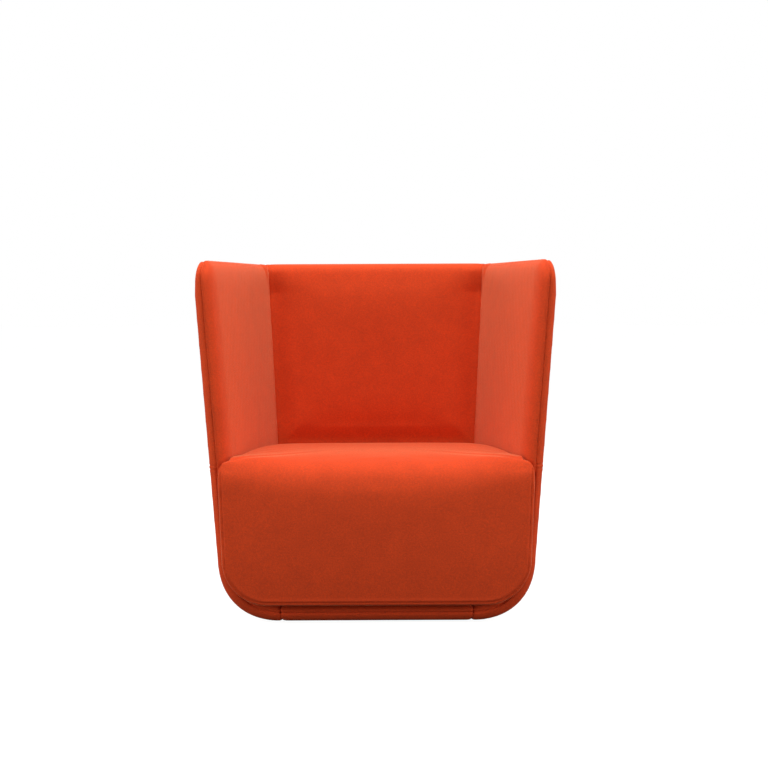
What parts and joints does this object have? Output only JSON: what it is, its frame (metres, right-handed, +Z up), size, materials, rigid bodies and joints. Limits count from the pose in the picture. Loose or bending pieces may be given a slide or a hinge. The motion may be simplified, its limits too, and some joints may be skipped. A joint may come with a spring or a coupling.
{
  "type": "lounge chair",
  "caption": "Upholstered tub lounge chair with flared side wings, a straight padded back and a seat block that laps over the shell's front edge.",
  "frame": {"origin": "on the floor under the middle of the chair's bounding box", "axes": "+Z up, -Y the way the sitter faces, +X to the right for someone who stands in front and looks at the chair"},
  "size_m": [0.8878, 0.6782, 0.885],
  "materials": {
    "wool": "felted wool, orange red, soft nap",
    "lining": "black spun-bonded cloth",
    "foam": "open-cell upholstery foam",
    "webbing": "woven elastic webbing",
    "felt": "needled felt sheet",
    "glide_plastic": "moulded black plastic",
    "zinc_steel": "zinc plated steel",
    "hardwood": "planed beech",
    "plywood": "birch plywood"
  },
  "bodies": {
    "root": {"back_panel": "plywood", "back_webbing": "webbing", "base_board": "plywood", "base_foam": "foam", "corner_post_left": "hardwood", "corner_post_right": "hardwood", "deck_cover": "lining", "dust_cover": "lining", "frame_screws": "zinc_steel", "front_band_cover": "wool", "glide_screws": "zinc_steel", "glides": "glide_plastic", "inner_cover_back": "wool", "inner_cover_left": "wool", "inner_cover_right": "wool", "inner_foam_back": "foam", "inner_foam_left": "foam", "inner_foam_right": "foam", "outer_cover_back_lower": "wool", "outer_cover_back_upper": "wool", "outer_cover_left_lower": "wool", "outer_cover_left_upper": "wool", "outer_cover_right_lower": "wool", "outer_cover_right_upper": "wool", "outer_foam_back": "foam", "outer_foam_left": "foam", "outer_foam_right": "foam", "rear_rib_left": "plywood", "rear_rib_right": "plywood", "seat_bolts": "zinc_steel", "seat_bottom_cloth": "lining", "seat_cover_left": "wool", "seat_cover_panel": "wool", "seat_cover_rear": "wool", "seat_cover_right": "wool", "seat_cover_strip": "wool", "seat_floor_board": "plywood", "seat_foam": "foam", "seat_front_board": "plywood", "seat_insulator": "felt", "seat_rail_left": "plywood", "seat_rail_right": "plywood", "seat_rear_board": "plywood", "seat_spacers": "zinc_steel", "seat_tee_nuts": "zinc_steel", "seat_webbing_cross": "webbing", "seat_webbing_long": "webbing", "side_panel_left": "plywood", "side_panel_right": "plywood", "underside_cover": "wool"}
  },
  "joints": []
}
